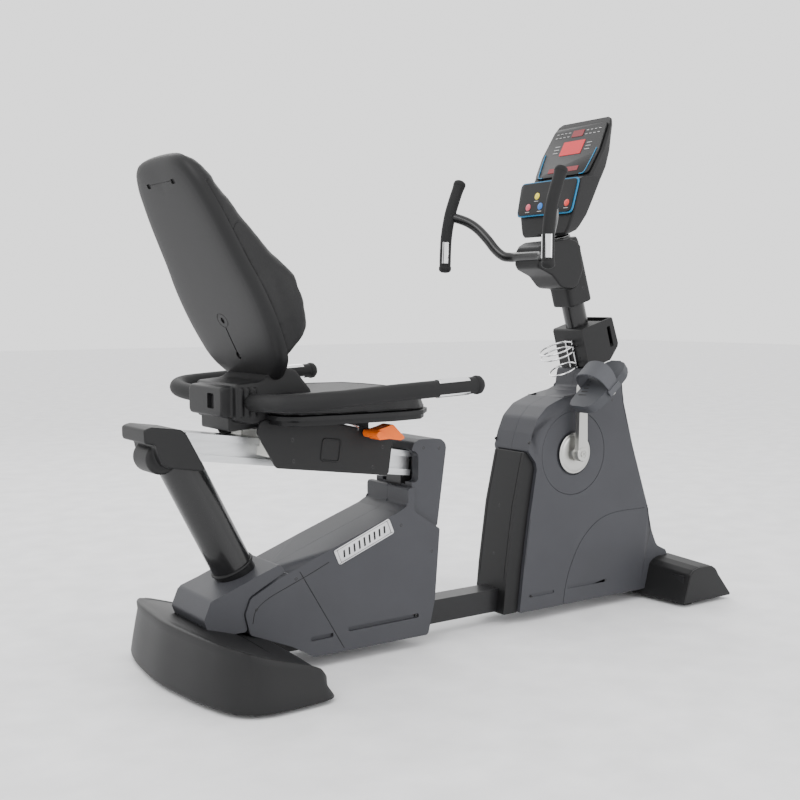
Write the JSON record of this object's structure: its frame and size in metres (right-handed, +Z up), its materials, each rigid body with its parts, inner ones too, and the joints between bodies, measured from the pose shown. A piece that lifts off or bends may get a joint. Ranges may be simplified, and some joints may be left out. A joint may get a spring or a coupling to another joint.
{
  "type": "recumbent exercise bike",
  "caption": "Recumbent exercise bike with a sliding padded seat on a sloping rail, side armrests, belt-driven cranks with strap pedals, upright handlebars, bottle cage and display console.",
  "frame": {"origin": "centre of the bounding box on the floor, between the two feet", "axes": "+X forward from the backrest to the console foot, +Y the rider's left, +Z up"},
  "size_m": [1.632, 0.739, 1.288],
  "materials": {
    "frame_black": "satin powder coat",
    "tube_black": "semi-gloss powder coat",
    "black_plastic": "fine moulded texture",
    "grey_plastic": "satin moulded grey",
    "rubber": "matt",
    "badge": "brushed",
    "rail_alu": "anodised",
    "bright": "polished",
    "foam": "soft closed foam",
    "console_shell": "fine texture",
    "console_gloss": "gloss overlay",
    "screen_red": "tinted window",
    "trim_blue": "gloss",
    "steel": "machined",
    "pulley_black": "moulded",
    "crank_silver": "bead blasted",
    "pedal_grey": "moulded",
    "strap_black": "ribbed",
    "glide_white": "self-lubricating",
    "upholstery": "stitched vinyl",
    "lever_orange": "moulded",
    "key_yellow": "domed",
    "key_white": "domed",
    "key_red": "domed",
    "key_pink": "domed",
    "key_blue": "domed",
    "key_green": "domed"
  },
  "bodies": {
    "frame": {"main_beam": "frame_black", "foot_tubes": "frame_black", "rear_foot_cover": "black_plastic", "front_foot_cover": "black_plastic", "levelling_feet": "rubber", "front_mast": "tube_black", "drive_bracket": "frame_black", "drive_belt": "rubber", "front_shell_right": "grey_plastic", "front_shell_left": "grey_plastic", "hub_plates": "grey_plastic", "column_cover": "black_plastic", "rear_shell_right": "grey_plastic", "rear_shell_left": "grey_plastic", "rear_cap_shell": "grey_plastic", "rear_saddle": "grey_plastic", "badge_plate": "badge", "rear_post": "tube_black", "rail_end_cap": "black_plastic", "seat_rail": "rail_alu", "holder_box": "black_plastic", "bottle_cage": "bright", "mast_cover": "black_plastic", "handlebar": "tube_black", "handle_grips": "foam", "handle_plates": "bright", "console_back": "console_shell", "console_front": "console_gloss", "screen_windows": "screen_red", "console_trim": "trim_blue", "keypad_panel": "console_shell"},
    "crank": {"crank_axle": "steel", "drive_pulley": "pulley_black", "crank_arm_right": "crank_silver", "crank_arm_left": "crank_silver", "crank_disc_right": "crank_silver", "crank_disc_left": "crank_silver"},
    "pedal_right": {"pedal_right": "pedal_grey", "pedal_strap_right": "strap_black"},
    "pedal_left": {"pedal_left": "pedal_grey", "pedal_strap_left": "strap_black"},
    "flywheel": {"flywheel": "steel"},
    "seat": {"seat_carriage": "black_plastic", "slide_pads": "glide_white", "carriage_cover": "black_plastic", "armrest_tube": "foam", "armrest_plates": "bright", "seat_pan": "black_plastic", "seat_cushion": "upholstery", "back_frame": "frame_black", "back_shell": "black_plastic", "back_cushion": "upholstery"},
    "slide_lever": {"seat_lever": "lever_orange"},
    "shoe": {"clamp_shoe": "rubber"},
    "key_1": {"key_1": "key_yellow"},
    "key_2": {"key_2": "key_white"},
    "key_3": {"key_3": "key_red"},
    "key_4": {"key_4": "key_pink"},
    "key_5": {"key_5": "key_blue"},
    "key_6": {"key_6": "key_green"}
  },
  "joints": [
    {"name": "flywheel_spin", "type": "hinge", "parent": "frame", "child": "flywheel", "pos_m": [0.4, 0, 0.215], "axis": [0, 1, 0], "continuous": true},
    {"name": "crank_spin", "type": "hinge", "parent": "frame", "child": "crank", "pos_m": [0.347, 0, 0.426], "axis": [0, 1, 0], "continuous": true},
    {"name": "pedal_right_spin", "type": "hinge", "parent": "crank", "child": "pedal_right", "pos_m": [0.347, -0.155, 0.596], "axis": [0, 1, 0], "continuous": true},
    {"name": "pedal_left_spin", "type": "hinge", "parent": "crank", "child": "pedal_left", "pos_m": [0.347, 0.155, 0.256], "axis": [0, 1, 0], "continuous": true},
    {"name": "seat_slide", "type": "slide", "parent": "frame", "child": "seat", "axis": [0.9903, 0, -0.1392], "range_m": [-0.08, 0.08]},
    {"name": "lever_lift", "type": "hinge", "parent": "seat", "child": "slide_lever", "pos_m": [-0.318, -0.13, 0.524], "axis": [0, -1, 0], "range_deg": [0, 15], "stiffness_Nm_per_rad": 1.2, "springref_deg": -8.59},
    {"name": "shoe_lift", "type": "slide", "parent": "seat", "child": "shoe", "axis": [0.1392, 0, 0.9903], "range_m": [0, 0.0031]},
    {"name": "key_1_press", "type": "slide", "parent": "frame", "child": "key_1", "axis": [0.9724, 0, -0.2334], "range_m": [0, 0.001], "stiffness_N_per_m": 400, "springref_m": -0.0008},
    {"name": "key_2_press", "type": "slide", "parent": "frame", "child": "key_2", "axis": [0.9724, 0, -0.2334], "range_m": [0, 0.001], "stiffness_N_per_m": 400, "springref_m": -0.0008},
    {"name": "key_3_press", "type": "slide", "parent": "frame", "child": "key_3", "axis": [0.9724, 0, -0.2334], "range_m": [0, 0.001], "stiffness_N_per_m": 400, "springref_m": -0.0008},
    {"name": "key_4_press", "type": "slide", "parent": "frame", "child": "key_4", "axis": [0.9724, 0, -0.2334], "range_m": [0, 0.001], "stiffness_N_per_m": 400, "springref_m": -0.0008},
    {"name": "key_5_press", "type": "slide", "parent": "frame", "child": "key_5", "axis": [0.9724, 0, -0.2334], "range_m": [0, 0.001], "stiffness_N_per_m": 400, "springref_m": -0.0008},
    {"name": "key_6_press", "type": "slide", "parent": "frame", "child": "key_6", "axis": [0.9724, 0, -0.2334], "range_m": [0, 0.001], "stiffness_N_per_m": 400, "springref_m": -0.0008}
  ],
  "couplings": [
    {"joint": "crank_spin", "follows": "flywheel_spin", "ratio": 0.24762},
    {"joint": "shoe_lift", "follows": "lever_lift", "m_per_rad": 0.011459}
  ]
}
